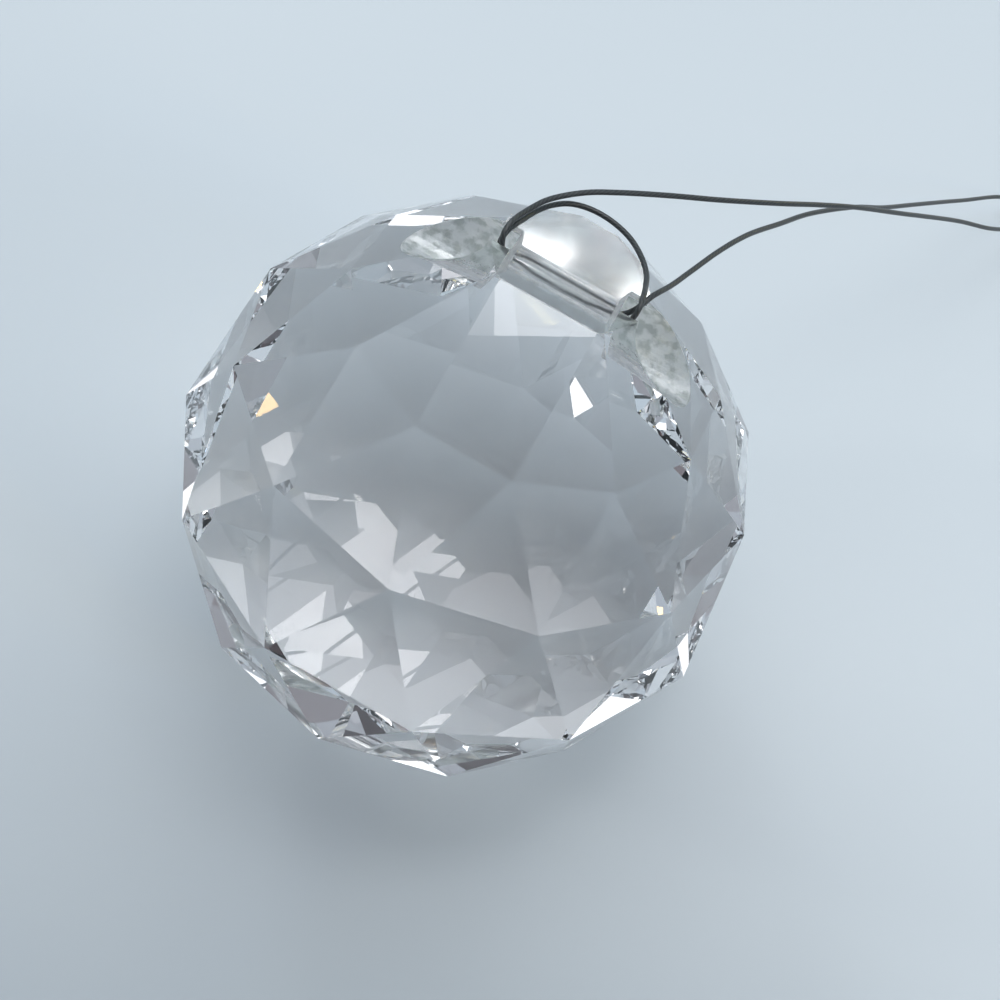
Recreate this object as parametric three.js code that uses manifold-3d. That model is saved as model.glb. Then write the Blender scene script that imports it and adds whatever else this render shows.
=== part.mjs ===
// A hanging crystal suncatcher: a faceted glass ball with a cross hole under its flat top, and the thin nylon
// thread that is looped twice through the hole. Millimetres, +Z up. The ball lies loose on one of its six large
// base facets, and the origin is on that facet, straight below the middle of the ball.

import * as THREE from "three";
import { ConvexGeometry } from "three/addons/geometries/ConvexGeometry.js";
import { mergeVertices } from "three/addons/utils/BufferGeometryUtils.js";
import Module from "manifold-3d";

const wasm = await Module();
wasm.setup();

const deg = THREE.MathUtils.degToRad;

// ---- Driving dimensions -------------------------------------------------------------------------------------

const BALL_RADIUS = 20; // every corner of the belts is this far from the middle
const SIDES = 12; // corners in each ring
const RING_STEP = deg(360 / SIDES);
const SHOULDER_POLAR = deg(37.3); // ring between the crown and the first belt, measured from the top
const BELT_POLAR = deg(62); // ring between the first and the second belt
const TABLE_HEIGHT = 21.6; // flat top above the middle of the ball
const TABLE_RADIUS = 5; // corners of the flat top
const FRONT_FACET_REACH = 3.75; // the crown facet at the front is ground in to here at the table
const BASE_SLOPE = deg(22); // tilt of the six base facets
const BASE_FACETS = 6;

const BORE = { y: -0.4, z: 19.6 }; // axis of the cross hole, parallel to the ball's X
const BORE_RADIUS = 1.1;
const SCOOP_RADIUS = 2.15; // ground recess at each end of the bore
const BORE_HALF = 3.3; // half length of the narrow part
const SCOOP_START = 3.65; // the recess has its full width from here outwards
const TOOL_HALF = 14; // the cutter runs well past the ball
const TOOL_SIDES = 32;

const REST_AZIMUTH = deg(60); // the base facet that the ball lies on, seen from above the ball
const SPIN = deg(-25.8); // how the resting ball is turned about the vertical

const THREAD_DIAMETER = 0.35;
const THREAD_SIDES = 8;
const JOIN_GAP = 0.3; // between two lengths of thread that meet end to end

const COIL = { x: 58.5, y: 42, inner: 1.46, outer: 2.54, height: 1.45 };
const COIL_SEGMENTS = 32;
const KNOT = { x: 61.6, y: 43.4, radius: 0.55 }; // both ends of the thread, tied, beside the coil

// The thread round the bridge of glass, in the ball's own frame: in at the left, through the bore, over the far
// side of the table, and through the bore again.
const WRAP_ROUTE = [
  [-4.28, 0.8, 22.38],
  [-4.42, 0, 22.32],
  [-4.42, -0.66, 21.95],
  [-4.15, -1, 21.2],
  [-3.75, -0.95, 20.4],
  [-2.9, -0.8, 19.75],
  [-1.6, -0.95, 19.4],
  [0, -1.05, 19.35],
  [1.6, -0.9, 19.4],
  [2.9, -0.7, 19.75],
  [3.75, -0.8, 20.3],
  [4.22, -1, 20.85],
  [4.5, -1, 21.45],
  [4.55, -0.58, 22.05],
  [4.4, 0.3, 22.27],
  [4.25, 1.4, 22],
  [3.9, 2.7, 21.85],
  [3.1, 3.9, 21.85],
  [1.9, 4.95, 21.85],
  [0.4, 5.5, 21.85],
  [-1, 5.5, 21.85],
  [-2.2, 5, 21.85],
  [-3.1, 3.95, 21.85],
  [-3.7, 2.6, 21.85],
  [-4, 1.45, 21.87],
  [-4.2, 0.65, 21.9],
  [-4.4, 0, 21.7],
  [-4.45, -0.45, 21.17],
  [-4.2, -0.56, 20.6],
  [-3.5, -0.36, 20.2],
  [-2.5, 0, 20.1],
  [-1.3, 0.1, 20.05],
  [0, 0.05, 20.05],
  [1.3, 0.05, 20.05],
  [2.5, 0, 20.1],
  [3.3, -0.05, 20.25],
  [3.92, -0.12, 20.68],
  [4.38, -0.02, 21.32],
  [4.67, 0.36, 21.87],
  [4.9, 1, 22.04],
];

// The two loose strands, in the part's frame, from the ball to the coil.
const UPPER_ROUTE = [
  [4.32, 8.28, 40],
  [5.16, 9.02, 39.7],
  [6.2, 9.59, 39.4],
  [7.83, 10.23, 38.9],
  [9.91, 10.81, 38.1],
  [13.11, 11.56, 36.8],
  [16.42, 12.43, 35.2],
  [20.8, 14.16, 32.5],
  [23.94, 15.68, 30.3],
  [27.13, 17.25, 27.9],
  [31.43, 19.68, 23.9],
  [38.42, 23.96, 17],
  [42.85, 26.37, 12.6],
  [47.6, 29.9, 7.8],
  [51.4, 32.9, 4.3],
  [54.6, 35.7, 2.1],
  [56.7, 37.6, 1.3],
  [58.2, 38.9, 1],
];
const LOWER_ROUTE = [
  [11.8, 3.56, 38.2],
  [12.72, 4.55, 37.5],
  [13.99, 6.07, 36.6],
  [16.17, 8.6, 35.2],
  [18.25, 10.75, 33.8],
  [20.97, 13.29, 31.5],
  [23.61, 15.89, 29],
  [28.08, 19.54, 24.8],
  [31.14, 22.01, 21.4],
  [34.89, 25.08, 17.6],
  [38.59, 28.08, 13.9],
  [41.78, 30.58, 10.8],
  [46.21, 34.05, 6.6],
  [49.8, 36.4, 3.2],
  [53, 37.7, 1.3],
  [55.3, 38.4, 0.6],
  [57.3, 39.2, 0.4],
];
const WRAP_STEPS = 54;
const UPPER_STEPS = 14;
const LOWER_STEPS = 12;

// ---- Solids -------------------------------------------------------------------------------------------------

// A closed geometry as a solid that can be cut.
function solidOf(geometry) {
  const bare = geometry.clone();
  bare.deleteAttribute("normal");
  bare.deleteAttribute("uv");
  const merged = mergeVertices(bare, 1e-4);
  const corners = merged.index.array;
  const triVerts = [];
  for (let i = 0; i < corners.length; i += 3) {
    const [a, b, c] = corners.subarray(i, i + 3);
    if (a !== b && b !== c && c !== a) triVerts.push(a, b, c);
  }
  return new wasm.Manifold(
    new wasm.Mesh({
      numProp: 3,
      vertProperties: merged.attributes.position.array,
      triVerts: new Uint32Array(triVerts),
    }),
  );
}

// A cut solid as a flat-shaded geometry.
function geometryOf(solid) {
  const mesh = solid.getMesh();
  const geometry = new THREE.BufferGeometry();
  geometry.setAttribute("position", new THREE.BufferAttribute(mesh.vertProperties, 3));
  geometry.setIndex(new THREE.BufferAttribute(mesh.triVerts, 1));
  const flat = geometry.toNonIndexed();
  flat.computeVertexNormals();
  return flat;
}

// ---- The faceted ball, in its own frame: middle at the origin, table on top, cross hole along X ---------------

// A ring of corners on the ball, at a polar angle from the top.
function ring(polar, phase) {
  const r = BALL_RADIUS * Math.sin(polar);
  return Array.from({ length: SIDES }, (_, i) => {
    const angle = (i + phase) * RING_STEP;
    return new THREE.Vector3(r * Math.cos(angle), r * Math.sin(angle), BALL_RADIUS * Math.cos(polar));
  });
}

// Corners of the flat top. Each is where two neighbouring crown facets meet the table, and the facet at the
// front, square to -Y, is ground in further than the others.
function tableCorners() {
  const front = Math.round((1.5 * Math.PI) / RING_STEP);
  const reach = (i) => (i % SIDES === front ? FRONT_FACET_REACH : TABLE_RADIUS * Math.cos(RING_STEP / 2));
  return Array.from({ length: SIDES }, (_, i) => {
    const angle = i * RING_STEP;
    const along = (reach(i + 1) - reach(i) * Math.cos(RING_STEP)) / Math.sin(RING_STEP);
    return new THREE.Vector3(
      reach(i) * Math.cos(angle) - along * Math.sin(angle),
      reach(i) * Math.sin(angle) + along * Math.cos(angle),
      TABLE_HEIGHT,
    );
  });
}

// How far the base facets are from the middle: each passes through two corners of the lowest ring.
const BASE_DISTANCE =
  BALL_RADIUS *
  (Math.sin(SHOULDER_POLAR) * Math.cos(RING_STEP / 2) * Math.sin(BASE_SLOPE) +
    Math.cos(SHOULDER_POLAR) * Math.cos(BASE_SLOPE));

// Corners of the base: its lowest point, and where two neighbouring base facets meet the belt above them.
function baseCorners() {
  const belt = { r: Math.sin(BELT_POLAR), z: -Math.cos(BELT_POLAR) };
  const shoulder = { r: Math.sin(SHOULDER_POLAR) * Math.cos(RING_STEP / 2), z: -Math.cos(SHOULDER_POLAR) };
  const seam = Math.cos(Math.PI / BASE_FACETS) * Math.sin(BASE_SLOPE);
  const depth = (p) => p.r * seam - p.z * Math.cos(BASE_SLOPE);
  const share = (BASE_DISTANCE / BALL_RADIUS - depth(belt)) / (depth(shoulder) - depth(belt));
  const r = BALL_RADIUS * THREE.MathUtils.lerp(belt.r, shoulder.r, share);
  const z = BALL_RADIUS * THREE.MathUtils.lerp(belt.z, shoulder.z, share);
  const seams = Array.from({ length: BASE_FACETS }, (_, i) => {
    const angle = ((2 * i + 1) * Math.PI) / BASE_FACETS;
    return new THREE.Vector3(r * Math.cos(angle), r * Math.sin(angle), z);
  });
  return [...seams, new THREE.Vector3(0, 0, -BASE_DISTANCE / Math.cos(BASE_SLOPE))];
}

// The bore with a flared, ground recess at each end, as one turned cutter along X.
function holeCutter() {
  const profile = [
    [0, -TOOL_HALF],
    [SCOOP_RADIUS, -TOOL_HALF],
    [SCOOP_RADIUS, -SCOOP_START],
    [BORE_RADIUS, -BORE_HALF],
    [BORE_RADIUS, BORE_HALF],
    [SCOOP_RADIUS, SCOOP_START],
    [SCOOP_RADIUS, TOOL_HALF],
    [0, TOOL_HALF],
  ].map(([x, y]) => new THREE.Vector2(x, y));
  const cutter = new THREE.LatheGeometry(profile, TOOL_SIDES);
  cutter.rotateZ(-Math.PI / 2);
  cutter.translate(0, BORE.y, BORE.z);
  return cutter;
}

function ballGeometry() {
  const corners = [
    ...tableCorners(),
    ...ring(SHOULDER_POLAR, 0.5),
    ...ring(BELT_POLAR, 0),
    ...ring(Math.PI / 2, 0.5),
    ...ring(Math.PI - BELT_POLAR, 0),
    ...ring(Math.PI - SHOULDER_POLAR, 0.5),
    ...baseCorners(),
  ];
  return geometryOf(solidOf(new ConvexGeometry(corners)).subtract(solidOf(holeCutter())));
}

// How the ball lies: its base facet at REST_AZIMUTH turned down onto the ground, then the spin.
function restingPose() {
  const hinge = new THREE.Vector3(-Math.sin(REST_AZIMUTH), Math.cos(REST_AZIMUTH), 0);
  const tilt = new THREE.Matrix4().makeRotationAxis(hinge, BASE_SLOPE);
  return new THREE.Matrix4()
    .makeTranslation(0, 0, BASE_DISTANCE)
    .multiply(new THREE.Matrix4().makeRotationZ(SPIN))
    .multiply(tilt);
}

// ---- The thread ---------------------------------------------------------------------------------------------

// One length of thread along a smooth curve, shortened at both ends by half the gap between two lengths.
function threadGeometry(route, steps) {
  const curve = new THREE.CatmullRomCurve3(route.map((p) => new THREE.Vector3(...p)), false, "centripetal");
  const trim = JOIN_GAP / 2 / curve.getLength();
  const inner = new THREE.Curve();
  inner.getPoint = (t, target) => curve.getPointAt(THREE.MathUtils.lerp(trim, 1 - trim, t), target);
  const section = new THREE.Shape(
    Array.from({ length: THREAD_SIDES }, (_, i) => {
      const angle = (2 * Math.PI * (i + 0.5)) / THREAD_SIDES;
      const radius = THREAD_DIAMETER / 2;
      return new THREE.Vector2(radius * Math.cos(angle), radius * Math.sin(angle));
    }),
  );
  return new THREE.ExtrudeGeometry(section, { steps, extrudePath: inner, bevelEnabled: false });
}

// The outer shape of the tied coil: a ring with chamfered edges that stands on the ground.
function coilGeometry() {
  const { inner, outer, height } = COIL;
  const chamfer = 0.25;
  const profile = [
    [inner, chamfer],
    [inner + chamfer, 0],
    [outer - chamfer, 0],
    [outer, chamfer],
    [outer, height - chamfer],
    [outer - chamfer, height],
    [inner + chamfer, height],
    [inner, height - chamfer],
    [inner, chamfer],
  ].map(([x, y]) => new THREE.Vector2(x, y));
  return new THREE.LatheGeometry(profile, COIL_SEGMENTS).rotateX(Math.PI / 2);
}

// ---- Scene graph --------------------------------------------------------------------------------------------

const crystal = () =>
  new THREE.MeshStandardMaterial({ color: 0xe8eef2, roughness: 0.02, metalness: 0, transparent: true, opacity: 0.5 });
const nylon = () => new THREE.MeshStandardMaterial({ color: 0x23282b, roughness: 0.45, metalness: 0 });

function named(name, geometry, material) {
  const mesh = new THREE.Mesh(geometry, material);
  mesh.name = name;
  return mesh;
}

const ballGroup = new THREE.Group();
ballGroup.applyMatrix4(restingPose());
ballGroup.add(
  named("crystal_ball", ballGeometry(), crystal()),
  named("thread_wrap", threadGeometry(WRAP_ROUTE, WRAP_STEPS), nylon()),
);

const coil = named("thread_coil", coilGeometry(), nylon());
coil.position.set(COIL.x, COIL.y, 0);

const knot = named("thread_knot", new THREE.SphereGeometry(KNOT.radius, 12, 8), nylon());
knot.position.set(KNOT.x, KNOT.y, KNOT.radius);

const suncatcher = new THREE.Group();
suncatcher.add(
  ballGroup,
  named("thread_upper_strand", threadGeometry(UPPER_ROUTE, UPPER_STEPS), nylon()),
  named("thread_lower_strand", threadGeometry(LOWER_ROUTE, LOWER_STEPS), nylon()),
  coil,
  knot,
);

export default suncatcher;
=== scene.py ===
"""Looks of a hanging crystal suncatcher: a faceted glass ball lying on a table, with its nylon thread.

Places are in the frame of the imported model: +Z up, with the origin on the base facet that the ball lies on.
Sizes are in millimetres unless a docstring says otherwise, and meshes are in metres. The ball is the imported
solid with a glass finish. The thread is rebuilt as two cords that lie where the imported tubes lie, and both
end in one knot beside the coil that holds their spare length.
"""

import logging
import math
from dataclasses import dataclass, field
from enum import Enum

import bpy
import numpy as np
from mathutils import Matrix, Vector


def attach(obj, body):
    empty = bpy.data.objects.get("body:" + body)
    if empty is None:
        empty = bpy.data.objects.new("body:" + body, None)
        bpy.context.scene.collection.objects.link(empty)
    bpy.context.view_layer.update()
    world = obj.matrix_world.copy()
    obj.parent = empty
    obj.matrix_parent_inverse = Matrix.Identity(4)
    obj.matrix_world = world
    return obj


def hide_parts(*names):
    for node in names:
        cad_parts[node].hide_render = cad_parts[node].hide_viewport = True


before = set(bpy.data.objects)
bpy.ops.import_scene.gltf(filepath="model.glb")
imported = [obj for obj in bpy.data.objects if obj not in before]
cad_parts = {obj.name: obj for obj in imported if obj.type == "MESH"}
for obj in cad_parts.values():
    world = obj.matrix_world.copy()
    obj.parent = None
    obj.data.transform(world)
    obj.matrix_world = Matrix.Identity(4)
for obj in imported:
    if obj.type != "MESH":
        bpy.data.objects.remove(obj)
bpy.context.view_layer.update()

log = logging.getLogger("suncatcher")

MM = 0.001
TAU = 2.0 * math.pi
Points = np.ndarray
Socket = bpy.types.NodeSocket
Triple = tuple[float, float, float]
Pair = tuple[float, float]

AROUND = ((-1, -1), (1, -1), (1, 1), (-1, 1))  # the corners of a square, in order


# ---- Frame of the ball -----------------------------------------------------------------------------------


@dataclass(frozen=True)
class BallFrame:
    """How the ball lies: turned by its base slope about a level hinge, spun, and lifted onto its base facet.

    Attributes:
        radius: Distance of the belt corners from the middle of the ball.
        sides: Corners in each ring of the belts.
        shoulder_polar: Polar angle of the ring of corners under the crown, in degrees.
        base_slope: Tilt of the six base facets, in degrees.
        rest_azimuth: Azimuth of the base facet that the ball lies on, in degrees.
        spin: Turn of the resting ball about the vertical, in degrees.
    """

    radius: float = 20.0
    sides: int = 12
    shoulder_polar: float = 37.3
    base_slope: float = 22.0
    rest_azimuth: float = 60.0
    spin: float = -25.8

    @property
    def lift(self) -> float:
        """Works out how high the middle of the ball is: its distance from the base facet that it lies on.

        Returns:
            Height above the table.
        """
        polar = math.radians(self.shoulder_polar)
        slope = math.radians(self.base_slope)
        half_step = math.radians(180.0 / self.sides)
        return self.radius * (
            math.sin(polar) * math.cos(half_step) * math.sin(slope) + math.cos(polar) * math.cos(slope)
        )

    def turn(self) -> np.ndarray:
        """Works out how the ball lies: tilted about a level hinge, then spun about the vertical.

        Returns:
            The three by three matrix from the ball's own axes to the axes of the part.
        """
        azimuth = math.radians(self.rest_azimuth)
        hinge = Vector((-math.sin(azimuth), math.cos(azimuth), 0.0))
        tilt = Matrix.Rotation(math.radians(self.base_slope), 3, hinge)
        return np.array(Matrix.Rotation(math.radians(self.spin), 3, "Z") @ tilt)

    def place(self, points: Points) -> Points:
        """Puts points from the ball's own axes into the part's axes.

        Args:
            points: Rows of x, y, z in the ball's own axes.

        Returns:
            The same rows in the part's axes.
        """
        return np.asarray(points, float) @ self.turn().T + np.array([0.0, 0.0, self.lift])


BALL = BallFrame()


# ---- Curves and surfaces ---------------------------------------------------------------------------------


def smooth_route(points: Points, per_span: int = 24) -> Points:
    """A centripetal Catmull-Rom curve through the points.

    Each span is the usual pyramid of six straight blends between four neighbouring points, with knots spaced
    by the square root of the chord. The first and last points are mirrored to give the outer neighbours.

    Args:
        points: Rows of x, y, z that the curve passes through.
        per_span: Samples in each span.

    Returns:
        Rows of x, y, z along the curve.
    """
    least_gap = 1e-9  # keeps the knots of two equal points apart
    p = np.asarray(points, float)
    padded = np.vstack([2 * p[0] - p[1], p, 2 * p[-1] - p[-2]])
    four = np.stack([padded[:-3], padded[1:-2], padded[2:-1], padded[3:]])
    gaps = np.sqrt(np.maximum(np.linalg.norm(np.diff(four, axis=0), axis=2), least_gap))
    knots = np.concatenate([np.zeros((1, gaps.shape[1])), np.cumsum(gaps, axis=0)])
    share = np.linspace(0.0, 1.0, per_span, endpoint=False)
    t = (knots[1][:, None] + (knots[2] - knots[1])[:, None] * share)[..., None]
    k = knots[:, :, None, None]
    q = four[:, :, None, :]

    def blend(a: Points, b: Points, i: int, j: int) -> Points:
        """Straight blend of a and b between knots i and j."""
        return a * (k[j] - t) / (k[j] - k[i]) + b * (t - k[i]) / (k[j] - k[i])

    first = [blend(q[i], q[i + 1], i, i + 1) for i in range(3)]
    second = [blend(first[i], first[i + 1], i, i + 2) for i in range(2)]
    curve = blend(second[0], second[1], 1, 2).reshape(-1, 3)
    return np.vstack([curve, p[-1]])


def even_steps(points: Points, step: float) -> Points:
    """The same line with points an even distance apart.

    Args:
        points: Rows of x, y, z along the line.
        step: Wanted distance between neighbours.

    Returns:
        Rows of x, y, z, at equal distances measured along the line.
    """
    travelled = np.concatenate([[0.0], np.cumsum(np.linalg.norm(np.diff(points, axis=0), axis=1))])
    count = max(2, int(round(travelled[-1] / step)) + 1)
    wanted = np.linspace(0.0, travelled[-1], count)
    return np.stack([np.interp(wanted, travelled, points[:, i]) for i in range(3)], axis=1)


def line_length(points: Points) -> float:
    """Length of a line of points."""
    return float(np.linalg.norm(np.diff(points, axis=0), axis=1).sum())


def frames_along(points: Points) -> tuple[Points, Points, Points]:
    """Tangents, and two normals that don't twist, along a line.

    A first pair of normals comes from the cross product with a fixed direction. How much each pair turns
    against the one before, carried over by the smallest turn, is summed up and taken out again.

    Args:
        points: Rows of x, y, z along the line.

    Returns:
        Unit tangents and two unit normals at each point.
    """
    tangent = np.gradient(points, axis=0)
    tangent /= np.linalg.norm(tangent, axis=1, keepdims=True)
    fixed = np.array([0.13, 0.21, 0.97])
    normal = np.cross(tangent, fixed)
    normal /= np.linalg.norm(normal, axis=1, keepdims=True)
    across = np.cross(tangent, normal)
    before, after = tangent[:-1], tangent[1:]
    axis = np.cross(before, after)
    cosine = np.sum(before * after, axis=1, keepdims=True)
    old = normal[:-1]
    carried = (
        old * cosine
        + np.cross(axis, old)
        + axis * np.sum(axis * old, axis=1, keepdims=True) / (1.0 + cosine)
    )
    turned = np.arctan2(np.sum(carried * across[1:], axis=1), np.sum(carried * normal[1:], axis=1))
    angle = np.concatenate([[0.0], -np.cumsum(turned)])[:, None]
    return (
        tangent,
        np.cos(angle) * normal - np.sin(angle) * across,
        np.sin(angle) * normal + np.cos(angle) * across,
    )


def tube_surface(points: Points, radius: float, sides: int) -> Points:
    """A round tube: each ring is the line's point plus radius times cos v and sin v along its two normals.

    Args:
        points: Rows of x, y, z along the middle of the tube.
        radius: Half the tube's thickness.
        sides: Corners in each ring.

    Returns:
        A grid of points, rings by corners by three.
    """
    _, normal, across = frames_along(points)
    around = np.linspace(0.0, TAU, sides, endpoint=False)[None, :, None]
    return points[:, None] + radius * (np.cos(around) * normal[:, None] + np.sin(around) * across[:, None])


def mesh_of_grid(name: str, grid: Points, run: Points | None = None) -> bpy.types.Object:
    """Makes a mesh of a grid that is closed around its second direction and capped at both ends.

    Args:
        name: Name of the new piece.
        grid: Points, rings by corners by three.
        run: Distance along the surface at each ring, for the first UV coordinate. Without it, that coordinate
            runs from nought to one.

    Returns:
        The new object, with its place in its mesh.
    """
    rings, sides, _ = grid.shape
    start = grid[0].mean(axis=0)
    end = grid[-1].mean(axis=0)
    verts = np.vstack([grid.reshape(-1, 3), start, end]) * MM
    i = np.arange(rings - 1)[:, None] * sides
    j = np.arange(sides)[None, :]
    k = (j + 1) % sides
    quads = np.stack([i + j, i + k, i + sides + k, i + sides + j], axis=-1).reshape(-1, 4)
    a = np.arange(sides)
    b = (a + 1) % sides
    first = np.stack([b, a, np.full(sides, rings * sides)], axis=-1)
    base = (rings - 1) * sides
    last = np.stack([base + a, base + b, np.full(sides, rings * sides + 1)], axis=-1)
    mesh = bpy.data.meshes.new(name)
    mesh.from_pydata(verts.tolist(), [], quads.tolist() + first.tolist() + last.tolist())
    run = np.linspace(0.0, 1.0, rings) if run is None else run
    u = np.concatenate([np.repeat(run, sides), run[:1], run[-1:]])
    corner = np.zeros(len(mesh.loops), np.int32)
    mesh.loops.foreach_get("vertex_index", corner)
    v = np.zeros(len(mesh.loops))
    quad_sides = np.broadcast_to(j, (rings - 1, sides)).reshape(-1, 1) + np.array([0, 1, 1, 0])
    v[: quads.size] = quad_sides.ravel() / sides
    layer = mesh.uv_layers.new(name="UVMap")
    layer.data.foreach_set("uv", np.stack([u[corner], v], axis=-1).astype(np.float32).ravel())
    mesh.polygons.foreach_set("use_smooth", np.ones(len(mesh.polygons), bool))
    mesh.update()
    piece = bpy.data.objects.new(name, mesh)
    bpy.context.scene.collection.objects.link(piece)
    return piece


# ---- Finishes --------------------------------------------------------------------------------------------


class Slot(Enum):
    """Names of the material slots, as the log prints them."""

    CRYSTAL = "crystal"
    THREAD = "thread"


class MixSocket(Enum):
    """Places of the sockets that a Mix node of colours uses."""

    SHARE = 0
    FIRST = 6
    SECOND = 7
    RESULT = 2


def opaque(colour: Triple) -> tuple[float, float, float, float]:
    """The colour with an alpha of one."""
    return (*colour, 1.0)


class NodeTree:
    """A short way to add nodes to a material or to the world."""

    def __init__(self, owner: bpy.types.Material | bpy.types.World) -> None:
        """Turns on the owner's nodes.

        Args:
            owner: The material or the world that the nodes belong to.
        """
        owner.use_nodes = True
        self.nodes = owner.node_tree.nodes
        self.links = owner.node_tree.links

    def add(self, kind: str, **settings: object) -> bpy.types.Node:
        """Adds a node.

        Args:
            kind: Blender's name of the node type.
            settings: Properties of the node.

        Returns:
            The new node.
        """
        node = self.nodes.new(kind)
        for key, value in settings.items():
            setattr(node, key, value)
        return node

    def feed(self, target: Socket, value: object) -> None:
        """Links a socket to the target where the value is one, and otherwise sets the target's plain value.

        Args:
            target: The socket that takes the value.
            value: A socket, number, vector or colour.
        """
        if isinstance(value, Socket):
            self.links.new(value, target)
        else:
            target.default_value = value

    def math(self, operation: str, *inputs: Socket | float) -> Socket:
        """A Math node of up to three inputs, each a number or a socket.

        Args:
            operation: Blender's name of the operation.
            inputs: What goes into the node, in order.

        Returns:
            The node's result.
        """
        node = self.add("ShaderNodeMath", operation=operation)
        for socket, value in zip(node.inputs, inputs):
            self.feed(socket, value)
        return node.outputs[0]

    def dot(self, vector: Socket, direction: Triple) -> Socket:
        """The dot product of a vector with a fixed direction.

        Args:
            vector: The vector.
            direction: The direction, of any length.

        Returns:
            The node's result.
        """
        node = self.add("ShaderNodeVectorMath", operation="DOT_PRODUCT")
        self.feed(node.inputs[0], vector)
        self.feed(node.inputs[1], direction)
        return node.outputs["Value"]

    def noise(self, vector: Socket, scale: float, detail: float = 2.0) -> Socket:
        """A noise texture's value.

        Args:
            vector: Coordinates, in metres.
            scale: Size of the pattern, in repeats per metre.
            detail: Finer layers of the pattern.

        Returns:
            The value, about one half on average.
        """
        node = self.add("ShaderNodeTexNoise")
        self.feed(node.inputs["Vector"], vector)
        self.feed(node.inputs["Scale"], scale)
        self.feed(node.inputs["Detail"], detail)
        return node.outputs["Fac"]

    def ramp(self, value: Socket, places: Pair, colours: tuple[Triple, Triple]) -> Socket:
        """A ramp between two colours.

        Args:
            value: What the ramp reads.
            places: Values at which the first colour ends and the second begins.
            colours: The two colours.

        Returns:
            The colour.
        """
        node = self.add("ShaderNodeValToRGB")
        for element, place, colour in zip(node.color_ramp.elements, places, colours):
            element.position = place
            element.color = opaque(colour)
        self.feed(node.inputs[0], value)
        return node.outputs[0]

    def mix(self, share: Socket, first: Socket | Triple, second: Socket | Triple) -> Socket:
        """A blend of two colours.

        Args:
            share: How much of the second colour is in the blend.
            first: The first colour.
            second: The second colour.

        Returns:
            The blended colour.
        """
        node = self.add("ShaderNodeMix", data_type="RGBA")
        self.feed(node.inputs[MixSocket.SHARE.value], share)
        for place, colour in ((MixSocket.FIRST, first), (MixSocket.SECOND, second)):
            self.feed(node.inputs[place.value], colour if isinstance(colour, Socket) else opaque(colour))
        return node.outputs[MixSocket.RESULT.value]


class SurfaceTree(NodeTree):
    """The nodes of a new material, with its shader."""

    def __init__(self, name: str) -> None:
        """Starts a material.

        Args:
            name: Name of the material.
        """
        self.material = bpy.data.materials.new(name)
        super().__init__(self.material)
        self.shader = self.nodes["Principled BSDF"]

    def set(self, **values: object) -> None:
        """Feeds the shader's own sockets, underscores in a name standing for spaces."""
        for key, value in values.items():
            self.feed(self.shader.inputs[key.replace("_", " ")], value)

    def bump(self, height: Socket, depth: float, strength: Socket | float) -> None:
        """Roughens the shader's normal.

        Args:
            height: Where the surface stands up.
            depth: How far the whole height reaches, in millimetres.
            strength: How much of the bump shows.
        """
        node = self.add("ShaderNodeBump")
        self.feed(node.inputs["Distance"], depth * MM)
        self.feed(node.inputs["Strength"], strength)
        self.feed(node.inputs["Height"], height)
        self.set(Normal=node.outputs[0])


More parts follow.
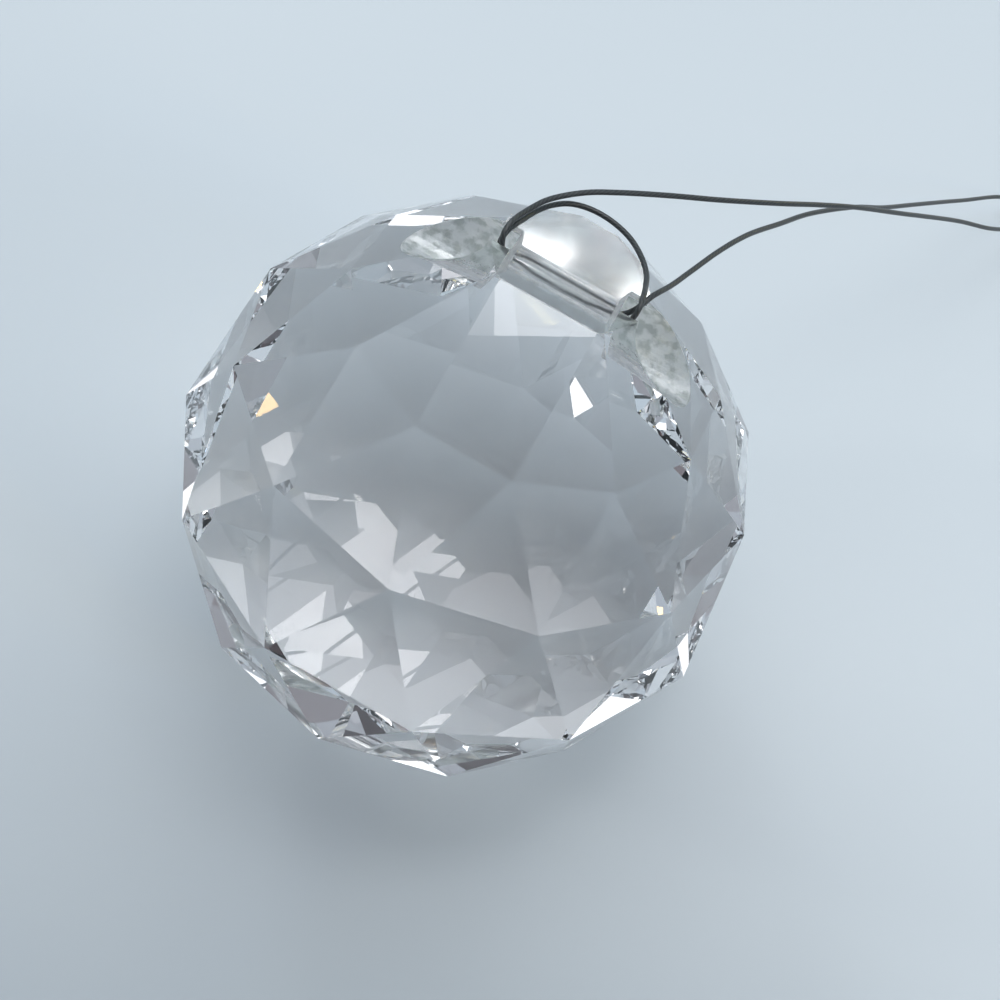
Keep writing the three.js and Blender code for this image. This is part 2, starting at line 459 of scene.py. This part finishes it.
@dataclass(frozen=True)
class CrystalFinish:
    """Polished clear glass, ground inside the hole's recesses, with a worn flat top.

    Attributes:
        ior: Refractive index of the glass.
        ground_reach: Everything nearer than this to the hole's axis, and under the flat top, is ground.
        bore_reach: Everything nearer than this to the hole's axis is the smoother wall of the bore.
        table_height: Height of the flat top above the ball's middle.
        top_margin: Everything above this much under the flat top's height is the flat top.
        hole_y: Place of the hole's axis across the ball.
        hole_z: Height of the hole's axis above the ball's middle.
        clear: Colour of the clear glass.
        ground: Colours of the ground glass, in its scratches and between them.
        worn: Colours of the flat top, in its clouds and between them.
        ground_roughness: Least roughness of the ground glass, and what its grain adds.
        bore_roughness: Roughness of the bore's wall.
        worn_roughness: Least roughness of the flat top, and what its clouds add.
        grain_scale: Repeats of the ground glass's grain in a metre.
        grain_detail: Finer layers of the grain.
        scratch_scale: Repeats of its scratches in a metre.
        scratch_detail: Finer layers of the scratches.
        scratch_places: Where the scratches' two colours end and begin, in the pattern's value.
        cloud_scale: Repeats of the flat top's clouds in a metre.
        cloud_places: Where the clouds' two colours end and begin, in the pattern's value.
        grain_depth: Depth of the ground glass's grain.
        grain_strength: How much of that depth shows.
    """

    ior: float = 1.52
    ground_reach: float = 2.21
    bore_reach: float = 1.16
    table_height: float = 21.6
    top_margin: float = 0.02
    hole_y: float = -0.4
    hole_z: float = 19.6
    clear: Triple = (0.955, 0.94, 0.94)
    ground: tuple[Triple, Triple] = ((0.42, 0.47, 0.43), (0.93, 0.97, 0.94))
    worn: tuple[Triple, Triple] = ((0.72, 0.71, 0.68), (0.90, 0.95, 0.92))
    ground_roughness: Pair = (0.24, 0.40)
    bore_roughness: float = 0.16
    worn_roughness: Pair = (0.16, 0.14)
    grain_scale: float = 2600.0
    grain_detail: float = 3.0
    scratch_scale: float = 1500.0
    scratch_detail: float = 5.0
    scratch_places: Pair = (0.40, 0.56)
    cloud_scale: float = 420.0
    cloud_places: Pair = (0.42, 0.60)
    grain_depth: float = 0.12
    grain_strength: float = 0.6

    def material(self) -> bpy.types.Material:
        """Builds the material.

        Three areas are told apart by the squared distance from the hole's axis and by the height, both worked
        out from dot products of the object's coordinates with the ball's axes. The bore's wall is nearer than
        the bore's reach. The ground glass lies between that and the ground reach, lower than the flat top.
        The flat top is all that is as high as it. Each area adds its own roughness, and the rest has none.

        Returns:
            The material.
        """
        tree = SurfaceTree("cut_crystal")
        place = tree.add("ShaderNodeTexCoord").outputs["Object"]
        turn = BALL.turn()

        def along(axis: int, offset: float) -> Socket:
            """Coordinate along one of the ball's own axes, in millimetres, less an offset."""
            coordinate = tree.dot(place, [float(c) / MM for c in turn[:, axis]])
            return tree.math("SUBTRACT", coordinate, offset + float(turn[2, axis]) * BALL.lift)

        across = along(1, self.hole_y)
        height = along(2, self.hole_z)
        square = tree.math("MULTIPLY_ADD", across, across, tree.math("MULTIPLY", height, height))
        near = tree.math("LESS_THAN", square, self.ground_reach**2)
        top = tree.math("GREATER_THAN", height, self.table_height - self.hole_z - self.top_margin)
        bore = tree.math("LESS_THAN", square, self.bore_reach**2)
        below = tree.math("MULTIPLY", near, tree.math("SUBTRACT", 1.0, top))
        ground = tree.math("MULTIPLY", below, tree.math("SUBTRACT", 1.0, bore))

        grain = tree.noise(place, self.grain_scale, self.grain_detail)
        scratches = tree.noise(place, self.scratch_scale, self.scratch_detail)
        clouds = tree.noise(place, self.cloud_scale)
        ground_least, ground_more = self.ground_roughness
        worn_least, worn_more = self.worn_roughness
        roughness = tree.math("MULTIPLY", bore, self.bore_roughness)
        for area, own in (
            (ground, tree.math("MULTIPLY_ADD", grain, ground_more, ground_least)),
            (top, tree.math("MULTIPLY_ADD", clouds, worn_more, worn_least)),
        ):
            roughness = tree.math("MULTIPLY_ADD", area, own, roughness)
        colour = tree.mix(ground, self.clear, tree.ramp(scratches, self.scratch_places, self.ground))
        colour = tree.mix(top, colour, tree.ramp(clouds, self.cloud_places, self.worn))
        tree.set(Base_Color=colour, Roughness=roughness, Transmission_Weight=1.0, IOR=self.ior)
        tree.bump(grain, self.grain_depth, tree.math("MULTIPLY", ground, self.grain_strength))
        return tree.material


@dataclass(frozen=True)
class NylonFinish:
    """Dark nylon thread with a soft sheen and fine lengthwise filaments, with painted shade in the hollows
    between them and painted sheen on their backs.

    Attributes:
        dark: Colour in the hollows between filaments: the nylon's own dark colour with painted shade.
        pale: Colour on the filaments' backs: the nylon's own dark colour with a painted sheen.
        places: Where the dark colour ends and the pale one begins, in the pattern's value.
        roughness: How dull the gloss is.
        ior: Refractive index of the nylon.
        filaments: Filaments seen round the thread.
        wind: Turns of a filament round the thread in each millimetre.
        filament_share: Share of the filaments in the pattern, the rest being speckle.
        speckle_scale: Repeats of the speckle in a metre.
        depth: Depth of the pattern.
        strength: How much of that depth shows.
    """

    dark: Triple = (0.010, 0.013, 0.014)
    pale: Triple = (0.045, 0.052, 0.055)
    places: Pair = (0.25, 0.8)
    roughness: float = 0.38
    ior: float = 1.53
    filaments: int = 5
    wind: float = 0.55
    filament_share: float = 0.45
    speckle_scale: float = 5200.0
    depth: float = 0.02
    strength: float = 0.5

    def material(self) -> bpy.types.Material:
        """Builds the material: a sine wave of stripes that wind round the thread, with a finer speckle, which
        paints shade into the hollows and sheen onto the filaments' backs and also drives the bump.

        Returns:
            The material.
        """
        tree = SurfaceTree("dark_nylon")
        split = tree.add("ShaderNodeSeparateXYZ")
        tree.feed(split.inputs[0], tree.add("ShaderNodeUVMap", uv_map="UVMap").outputs[0])
        phase = tree.math("MULTIPLY_ADD", split.outputs[0], self.wind, split.outputs[1])
        wave = tree.math("SINE", tree.math("MULTIPLY", phase, self.filaments * TAU))
        stripe = tree.math("MULTIPLY_ADD", wave, 0.5, 0.5)
        place = tree.add("ShaderNodeTexCoord").outputs["Object"]
        speckle = tree.math("MULTIPLY", tree.noise(place, self.speckle_scale), 1.0 - self.filament_share)
        pattern = tree.math("MULTIPLY_ADD", stripe, self.filament_share, speckle)
        # The ramp paints shade into the hollows between filaments and a sheen onto their backs.
        colour = tree.ramp(pattern, self.places, (self.dark, self.pale))
        tree.set(Base_Color=colour, Roughness=self.roughness, IOR=self.ior)
        tree.bump(pattern, self.depth, self.strength)
        return tree.material


@dataclass(frozen=True)
class TableFinish:
    """Pale, satin table top.

    Attributes:
        colour: Colour of the table.
        roughness: How dull the table is.
    """

    colour: Triple = (0.56, 0.62, 0.655)
    roughness: float = 0.45

    def material(self) -> bpy.types.Material:
        """Builds the material, plain so that it only carries the light.

        Returns:
            The material.
        """
        tree = SurfaceTree("pale_table")
        tree.set(Base_Color=opaque(self.colour), Roughness=self.roughness)
        return tree.material


# ---- The thread ------------------------------------------------------------------------------------------

# The thread round the bridge of glass, in the ball's own frame: in at the left, through the hole, over the
# far side of the flat top, and through the hole again.
WRAP_ROUTE = (
    (-4.28, 0.8, 22.38),
    (-4.42, 0.0, 22.32),
    (-4.42, -0.66, 21.95),
    (-4.15, -1.0, 21.2),
    (-3.75, -0.95, 20.4),
    (-2.9, -0.8, 19.75),
    (-1.6, -0.95, 19.4),
    (0.0, -1.05, 19.35),
    (1.6, -0.9, 19.4),
    (2.9, -0.7, 19.75),
    (3.75, -0.8, 20.3),
    (4.22, -1.0, 20.85),
    (4.5, -1.0, 21.45),
    (4.55, -0.58, 22.05),
    (4.4, 0.3, 22.27),
    (4.25, 1.4, 22.0),
    (3.9, 2.7, 21.85),
    (3.1, 3.9, 21.85),
    (1.9, 4.95, 21.85),
    (0.4, 5.5, 21.85),
    (-1.0, 5.5, 21.85),
    (-2.2, 5.0, 21.85),
    (-3.1, 3.95, 21.85),
    (-3.7, 2.6, 21.85),
    (-4.0, 1.45, 21.87),
    (-4.2, 0.65, 21.9),
    (-4.4, 0.0, 21.7),
    (-4.45, -0.45, 21.17),
    (-4.2, -0.56, 20.6),
    (-3.5, -0.36, 20.2),
    (-2.5, 0.0, 20.1),
    (-1.3, 0.1, 20.05),
    (0.0, 0.05, 20.05),
    (1.3, 0.05, 20.05),
    (2.5, 0.0, 20.1),
    (3.3, -0.05, 20.25),
    (3.92, -0.12, 20.68),
    (4.38, -0.02, 21.32),
    (4.67, 0.36, 21.87),
    (4.9, 1.0, 22.04),
)

WRAP_START = 3  # the wrap's point, inside the left recess, where both cords start

# The two loose strands from the ball to the coil.
UPPER_ROUTE = (
    (4.32, 8.28, 40.0),
    (5.16, 9.02, 39.7),
    (6.2, 9.59, 39.4),
    (7.83, 10.23, 38.9),
    (9.91, 10.81, 38.1),
    (13.11, 11.56, 36.8),
    (16.42, 12.43, 35.2),
    (20.8, 14.16, 32.5),
    (23.94, 15.68, 30.3),
    (27.13, 17.25, 27.9),
    (31.43, 19.68, 23.9),
    (38.42, 23.96, 17.0),
    (42.85, 26.37, 12.6),
    (47.6, 29.9, 7.8),
    (51.4, 32.9, 4.3),
    (54.6, 35.7, 2.1),
    (56.7, 37.6, 1.3),
    (58.2, 38.9, 1.0),
)

LOWER_ROUTE = (
    (11.8, 3.56, 38.2),
    (12.72, 4.55, 37.5),
    (13.99, 6.07, 36.6),
    (16.17, 8.6, 35.2),
    (18.25, 10.75, 33.8),
    (20.97, 13.29, 31.5),
    (23.61, 15.89, 29.0),
    (28.08, 19.54, 24.8),
    (31.14, 22.01, 21.4),
    (34.89, 25.08, 17.6),
    (38.59, 28.08, 13.9),
    (41.78, 30.58, 10.8),
    (46.21, 34.05, 6.6),
    (49.8, 36.4, 3.2),
    (53.0, 37.7, 1.3),
    (55.3, 38.4, 0.6),
    (57.3, 39.2, 0.4),
)

# From the coil to the knot.
UPPER_END = ((61.2, 43.15, 1.1), (61.5, 43.45, 0.62))
LOWER_END = ((61.3, 43.0, 0.6), (61.62, 43.3, 0.5))


class Layers(Enum):
    """The two pairs of layers in the coil, as places in its heights."""

    LOWER = (0, 1)
    UPPER = (2, 3)


@dataclass(frozen=True)
class Coil:
    """The wound-up spare length: two turns side by side, four layers high.

    Attributes:
        middle: Where the coil lies.
        radii: Radius of each turn in a layer, outermost first.
        heights: Height of each layer above the table.
        way_in: Direction from the coil's middle at which a strand comes in, in degrees.
        way_out: Direction from the coil's middle at which a strand leaves, in degrees.
        lead: Share of the first turn that the strand takes to come in.
        slide: Share of a turn over which its radius and height slide to the next turn's.
        samples: Points in each turn.
    """

    middle: Pair = (58.5, 42.0)
    radii: tuple[float, ...] = (2.29, 1.91)
    heights: tuple[float, ...] = (0.32, 0.68, 1.04, 1.40)
    way_in: float = -62.0
    way_out: float = 18.0
    lead: float = 0.12
    slide: float = 0.2
    samples: int = 24

    def turns(self, layers: Layers) -> Points:
        """Four turns in two layers: inwards on the lower layer, outwards on the upper one.

        The angle grows evenly. The radius and the height stay on one turn's values, and over the last part of
        each turn they go to the next turn's by the smooth step 3 s squared less 2 s cubed.

        Args:
            layers: The two layers.

        Returns:
            Rows of x, y, z along the turns.
        """
        radii = np.array([*self.radii, *self.radii[::-1]])
        heights = np.repeat([self.heights[layer] for layer in layers.value], len(self.radii))
        last = len(radii) - 1
        extra = ((self.way_out - self.way_in) % 360.0) / 360.0
        turn = np.linspace(self.lead, last + extra, self.samples * len(radii))
        whole = np.minimum(turn.astype(int), last)
        following = np.minimum(whole + 1, last)
        share = np.clip((turn - whole - (1.0 - self.slide)) / self.slide, 0.0, 1.0)
        share = share * share * (3.0 - 2.0 * share)
        radius = radii[whole] * (1.0 - share) + radii[following] * share
        height = heights[whole] * (1.0 - share) + heights[following] * share
        angle = math.radians(self.way_in) + TAU * turn
        x = self.middle[0] + radius * np.cos(angle)
        y = self.middle[1] + radius * np.sin(angle)
        return np.stack([x, y, height], axis=1)


@dataclass(frozen=True)
class Knot:
    """Both ends of the thread, tied together.

    Attributes:
        middle: Where the knot lies.
        radius: Half the width of the knot.
        depth: Height of the knot's loops, as a share of their width.
        samples: Points along the knot.
    """

    middle: Triple = (61.6, 43.4, 0.55)
    radius: float = 0.5
    depth: float = 0.75
    samples: int = 96

    def line(self, diameter: float) -> Points:
        """A trefoil: x = sin t + 2 sin 2t and y = cos t - 2 cos 2t over three, and z = -sin 3t by the depth.

        Its first two points come again at the end, so that the closed line has no gap.

        Args:
            diameter: Thickness of the thread.

        Returns:
            Rows of x, y, z along the knot.
        """
        t = np.linspace(0.0, TAU, self.samples, endpoint=False)
        x = (np.sin(t) + 2 * np.sin(2 * t)) / 3
        y = (np.cos(t) - 2 * np.cos(2 * t)) / 3
        z = -np.sin(3 * t) * self.depth
        shape = np.stack([x, y, z], axis=1)
        return np.array(self.middle) + (self.radius - diameter / 2) * np.vstack([shape, shape[:2]])


@dataclass(frozen=True)
class Tie:
    """A few turns of finer thread round the coil's bundle.

    Attributes:
        direction: Direction from the coil's middle at which the tie sits, in degrees.
        turns: Turns round the bundle.
        pitch: Distance between the turns along the coil.
        diameter: Thickness of the finer thread.
        sides: Corners around it.
        clearance: Room between the bundle and the middle of the finer thread, across and up.
        roundness: One for an ellipse round the bundle, nought for a rectangle.
        samples: Points in each turn.
        step: Distance between rings of the surface.
    """

    direction: float = 150.0
    turns: int = 3
    pitch: float = 0.2
    diameter: float = 0.14
    sides: int = 8
    clearance: Pair = (0.09, 0.075)
    roundness: float = 0.5
    samples: int = 48
    step: float = 0.08

    def line(self, coil: Coil, diameter: float) -> Points:
        """A helix round the coil's bundle, with a rounded rectangle in place of its circle.

        Across the bundle and up it, the half size times the cosine and the sine of the turn, each raised to
        the roundness and keeping its sign. Along the coil, the pitch times the turn.

        Args:
            coil: The coil that it ties.
            diameter: Thickness of the coil's thread.

        Returns:
            Rows of x, y, z along the tie.
        """
        angle = math.radians(self.direction)
        outward = np.array([math.cos(angle), math.sin(angle), 0.0])
        along = np.array([-math.sin(angle), math.cos(angle), 0.0])
        upward = np.array([0.0, 0.0, 1.0])
        middle = np.array([*coil.middle, 0.0]) + outward * sum(coil.radii) / len(coil.radii)
        middle = middle + upward * sum(coil.heights) / len(coil.heights)
        wide = (coil.radii[0] - coil.radii[-1]) / 2 + diameter / 2 + self.clearance[0]
        high = (coil.heights[-1] - coil.heights[0]) / 2 + diameter / 2 + self.clearance[1]
        t = np.linspace(0.0, self.turns * TAU, self.turns * self.samples + 1)
        across, up = (np.sign(wave) * np.abs(wave) ** self.roundness for wave in (np.cos(t), np.sin(t)))
        drift = self.pitch * (t / TAU - self.turns / 2)
        line = (
            middle
            + outward * (wide * across)[:, None]
            + upward * (high * up)[:, None]
            + along * drift[:, None]
        )
        return even_steps(line, self.step)


@dataclass
class Thread:
    """The nylon thread: two cords that start in the left recess and end in one knot, with the coil's tie.

    Attributes:
        diameter: Thickness of the thread.
        sides: Corners around the thread.
        step: Distance between rings of the thread's surface.
        coil: The spare length.
        knot: Where both ends are tied.
        tie: What holds the coil.
        finish: What the thread is made of.
        dressed: The finish's material, once it is built.
    """

    diameter: float = 0.35
    sides: int = 12
    step: float = 0.16
    coil: Coil = field(default_factory=Coil)
    knot: Knot = field(default_factory=Knot)
    tie: Tie = field(default_factory=Tie)
    finish: NylonFinish = field(default_factory=NylonFinish)
    dressed: bpy.types.Material = field(init=False)

    def upper_line(self) -> Points:
        """Lays the cord that runs from the left recess to the coil's two upper layers.

        Returns:
            Rows of x, y, z along its middle.
        """
        head = BALL.place(WRAP_ROUTE[: WRAP_START + 1])[::-1]
        line = np.vstack([head, UPPER_ROUTE, self.coil.turns(Layers.UPPER), UPPER_END])
        return even_steps(smooth_route(line), self.step)

    def lower_line(self) -> Points:
        """Lays the cord that goes round the bridge of glass and runs to the coil's two lower layers.

        Returns:
            Rows of x, y, z along its middle.
        """
        wrap = BALL.place(WRAP_ROUTE[WRAP_START:])
        line = np.vstack([wrap, LOWER_ROUTE, self.coil.turns(Layers.LOWER), LOWER_END])
        return even_steps(smooth_route(line), self.step)

    def declare(self, piece: bpy.types.Object, replaced: tuple[str, ...] = ()) -> None:
        """Dresses a piece of the thread, hangs it on the root body and hides the CAD nodes that it stands
        for.

        Args:
            piece: The piece.
            replaced: CAD nodes that it stands for.
        """
        piece.data.materials.append(self.dressed)
        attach(piece, "root")
        if replaced:
            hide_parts(*replaced)
        log.info("%s: %d points, %s", piece.name, len(piece.data.vertices), Slot.THREAD.value)

    def cord(
        self, name: str, line: Points, replaced: tuple[str, ...]
    ) -> None:
        """Args:
            name: Name of the piece.
            line: Middle line.
            replaced: CAD nodes that it stands for.
        """
        length = line_length(line)
        run = np.linspace(0.0, length, len(line))
        piece = mesh_of_grid(name, tube_surface(line, self.diameter / 2, self.sides), run)
        self.declare(piece, replaced)
        log.info("%s: %.1f mm long", name, length)

    def build(self) -> None:
        """Builds the knot, the tie and both cords."""
        self.dressed = self.finish.material()
        knot_surface = tube_surface(self.knot.line(self.diameter), self.diameter / 2, self.sides)
        knot = mesh_of_grid("thread_end_knot", knot_surface)
        self.declare(knot, ("thread_knot",))
        tie_line = self.tie.line(self.coil, self.diameter)
        tie = mesh_of_grid("coil_tie", tube_surface(tie_line, self.tie.diameter / 2, self.tie.sides))
        self.declare(tie)
        self.cord("thread_upper", self.upper_line(), ("thread_upper_strand",))
        wound = ("thread_wrap", "thread_lower_strand", "thread_coil")
        self.cord("thread_lower", self.lower_line(), wound)


# ---- The ball --------------------------------------------------------------------------------------------


@dataclass
class Ball:
    """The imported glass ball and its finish.

    Attributes:
        finish: What the ball is made of.
    """

    finish: CrystalFinish = field(default_factory=CrystalFinish)

    def dress(self) -> None:
        """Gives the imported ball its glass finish."""
        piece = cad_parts["crystal_ball"]
        piece.data.materials.clear()
        piece.data.materials.append(self.finish.material())
        log.info("%s: dressed, %s", piece.name, Slot.CRYSTAL.value)


# ---- Stage -----------------------------------------------------------------------------------------------


@dataclass(frozen=True)
class Window:
    """A rectangular light.

    Attributes:
        name: Name of the light.
        place: Where it hangs, in metres.
        size: Width and height, in metres.
        watts: Power.
        colour: Colour of the light.
        aim: The point that it faces, in metres.
    """

    name: str
    place: Triple
    size: Pair
    watts: float
    colour: Triple
    aim: Triple = (0.0, 0.0, 0.02)

    def build(self) -> None:
        """Hangs the light."""
        data = bpy.data.lights.new(self.name, "AREA")
        data.shape = "RECTANGLE"
        data.size, data.size_y = self.size
        data.energy = self.watts
        data.color = self.colour
        light = bpy.data.objects.new(self.name, data)
        light.location = self.place
        direction = Vector(self.aim) - Vector(self.place)
        light.rotation_euler = direction.to_track_quat("-Z", "Y").to_euler()
        bpy.context.scene.collection.objects.link(light)


@dataclass(frozen=True)
class Sight:
    """The camera's directions and place.

    Attributes:
        right: Direction to its right.
        up: Direction to its top.
        back: Direction behind it.
        lens: Where its lens is, in millimetres.
    """

    right: Vector
    up: Vector
    back: Vector
    lens: Vector

    def point(self, right: float, up: float, back: float) -> Vector:
        """A place to the right of, above and behind the lens, in metres."""
        return (self.lens + self.right * right + self.up * up + self.back * back) * MM


@dataclass(frozen=True)
class Sky:
    """Light from all round: pale at the back, dimmer at the front, and dusky round the line of sight.

    Attributes:
        pale: Colour of the light from the back.
        dim: Colour of the light from the front.
        pale_side: Where the pale light comes from.
        pale_edge: Cosines against that direction at which the pale light begins and is full.
        dusk: Colour of the light from round the line of sight.
        dusk_edge: Cosines against that line at which the dusk begins and is full.
    """

    pale: Triple = (0.50, 0.60, 0.69)
    dim: Triple = (0.38, 0.42, 0.48)
    pale_side: Triple = (0.25, 0.87, 0.1)
    pale_edge: Pair = (-0.6, 0.5)
    dusk: Triple = (0.125, 0.085, 0.09)
    dusk_edge: Pair = (0.62, 0.90)

    def build(self, dusk_side: Triple) -> None:
        """Makes the world. Each share is a smooth step of the cosine between a ray and a fixed direction.

        Args:
            dusk_side: Where the dusk comes from.
        """
        world = bpy.data.worlds.new("surroundings")
        tree = NodeTree(world)
        ray = tree.add("ShaderNodeTexCoord").outputs["Generated"]

        def share(side: Triple, edge: Pair) -> Socket:
            """How much a ray points to a side, from nought at the edge's start to one at its end.

            Args:
                side: The side's direction.
                edge: Cosines at which the edge starts and ends.

            Returns:
                The share.
            """
            step = tree.add("ShaderNodeMapRange", interpolation_type="SMOOTHSTEP")
            tree.feed(step.inputs["Value"], tree.dot(ray, side))
            tree.feed(step.inputs["From Min"], edge[0])
            tree.feed(step.inputs["From Max"], edge[1])
            return step.outputs["Result"]

        round_sky = tree.mix(share(self.pale_side, self.pale_edge), self.dim, self.pale)
        whole_sky = tree.mix(share(dusk_side, self.dusk_edge), round_sky, self.dusk)
        tree.feed(tree.nodes["Background"].inputs["Color"], whole_sky)
        bpy.context.scene.world = world


WINDOWS = (
    Window("ceiling_light", (0.22, 0.20, 1.0), (1.20, 0.90), 5.4, (0.97, 0.985, 1.0), (0.0, 0.0, 0.0)),
    Window("round_lamp", (0.25, 0.0, 1.0), (0.46, 0.40), 2.6, (0.98, 0.985, 1.0), (0.0, 0.0, 0.0)),
    Window("back_window", (-0.15, 0.60, 0.35), (0.12, 0.05), 0.40, (0.93, 0.97, 1.0)),
    Window("left_window", (-0.50, 0.10, 0.20), (0.05, 0.10), 0.30, (1.0, 0.97, 0.92)),
    Window("blue_lamp", (0.36, -0.22, 0.30), (0.035, 0.035), 0.10, (0.45, 0.65, 1.0)),
    Window("white_lamp", (0.33, -0.26, 0.30), (0.035, 0.035), 0.16, (1.0, 0.98, 0.94)),
    Window("gold_lamp", (0.30, -0.30, 0.30), (0.035, 0.035), 0.12, (1.0, 0.66, 0.24)),
    Window("amber_window", (0.45, 0.30, 0.12), (0.05, 0.05), 0.16, (1.0, 0.80, 0.25)),
)


@dataclass(frozen=True)
class Studio:
    """Camera, table top and lights.

    Attributes:
        elevation: Angle of the camera above the table, in degrees.
        distance: Distance of the camera from the ball's middle along its line of sight.
        shift: How far the camera stands to the right of, and above, that line.
        lens: Focal length for the film.
        film: Width of the film.
        reach: Nearest and furthest distances that the camera sees, in metres.
        floor_half: Half the width of the table top, in metres.
        floor_gap: How far the table top lies under the ball.
        flag_size: Width and height of the dark card.
        flag_offset: Middle of the card to the right of, above and behind the lens.
        flag_colour: Colour of the card.
        flag_roughness: How dull the card is.
        glass_bounces: Facets that a ray may pass.
        gloss_bounces: Reflections that a ray may have.
        sky: Light from all round.
        windows: The lights.
    """

    elevation: float = 65.32
    distance: float = 98.93
    shift: Pair = (2.49, -0.99)
    lens: float = 50.91
    film: float = 36.0
    reach: Pair = (0.005, 10.0)
    floor_half: float = 1.2
    floor_gap: float = 0.03
    flag_size: Pair = (94.0, 118.0)
    flag_offset: Triple = (5.0, -24.0, 3.0)
    flag_colour: Triple = (0.06, 0.025, 0.03)
    flag_roughness: float = 0.8
    glass_bounces: int = 24
    gloss_bounces: int = 16
    sky: Sky = field(default_factory=Sky)
    windows: tuple[Window, ...] = WINDOWS

    def sight(self) -> Sight:
        """Works out the camera's directions and the place of its lens.

        Returns:
            The directions and the place.
        """
        angle = math.radians(self.elevation)
        right = Vector((1.0, 0.0, 0.0))
        up = Vector((0.0, math.sin(angle), math.cos(angle)))
        back = Vector((0.0, -math.cos(angle), math.sin(angle)))
        middle = Vector((0.0, 0.0, BALL.lift))
        lens = middle + back * self.distance + right * self.shift[0] + up * self.shift[1]
        return Sight(right, up, back, lens)

    def camera(self) -> None:
        """Makes the camera, which looks along its own line of sight, without a shift of the lens."""
        data = bpy.data.cameras.new("camera")
        data.lens = self.lens
        data.sensor_width = self.film
        data.clip_start, data.clip_end = self.reach
        camera = bpy.data.objects.new("camera", data)
        bpy.context.scene.collection.objects.link(camera)
        sight = self.sight()
        turn = Matrix((sight.right, sight.up, sight.back)).transposed().to_4x4()
        camera.matrix_world = Matrix.Translation(sight.point(0.0, 0.0, 0.0)) @ turn
        bpy.context.scene.camera = camera

    def board(
        self, name: str, corners: list[Triple] | list[Vector], finish: bpy.types.Material
    ) -> bpy.types.Object:
        """Makes a flat four-sided piece of the stage.

        Args:
            name: Name of the piece.
            corners: Its four corners in order, in metres.
            finish: What it is made of.

        Returns:
            The piece.
        """
        mesh = bpy.data.meshes.new(name)
        mesh.from_pydata(corners, [], [(0, 1, 2, 3)])
        mesh.materials.append(finish)
        board = bpy.data.objects.new(name, mesh)
        bpy.context.scene.collection.objects.link(board)
        return board

    def floor(self) -> None:
        """Makes the table top, a hair under the ball."""
        corners = [(i * self.floor_half, j * self.floor_half, -self.floor_gap * MM) for i, j in AROUND]
        self.board("table_top", corners, TableFinish().material())

    def flag(self) -> None:
        """Hangs a dark card square to the camera's line of sight, just behind the lens."""
        sight = self.sight()
        width, height = self.flag_size
        right, up, back = self.flag_offset
        corners = [sight.point(right + i * width / 2, up + j * height / 2, back) for i, j in AROUND]
        tree = SurfaceTree("dark_flag")
        tree.set(Base_Color=opaque(self.flag_colour), Roughness=self.flag_roughness)
        self.board("dark_flag", corners, tree.material).visible_camera = False

    def light_paths(self) -> None:
        """Lets light pass through many facets, and keeps colours as they are computed."""
        scene = bpy.context.scene
        scene.cycles.max_bounces = self.glass_bounces
        scene.cycles.transmission_bounces = self.glass_bounces
        scene.cycles.glossy_bounces = self.gloss_bounces
        scene.cycles.transparent_max_bounces = self.gloss_bounces
        scene.view_settings.view_transform = "Standard"

    def build(self) -> None:
        """Builds the table top, the light from all round, the dark card and the lights."""
        self.floor()
        self.sky.build(tuple(self.sight().back))
        self.flag()
        for window in self.windows:
            window.build()
        self.light_paths()
        log.info("stage: %d lights", len(self.windows))


def main() -> None:
    """Builds the camera, the thread, the ball and the stage."""
    logging.basicConfig(level=logging.INFO, format="%(message)s")
    studio = Studio()
    studio.camera()
    Thread().build()
    Ball().dress()
    studio.build()
    bpy.context.view_layer.update()


if __name__ == "__main__":
    main()
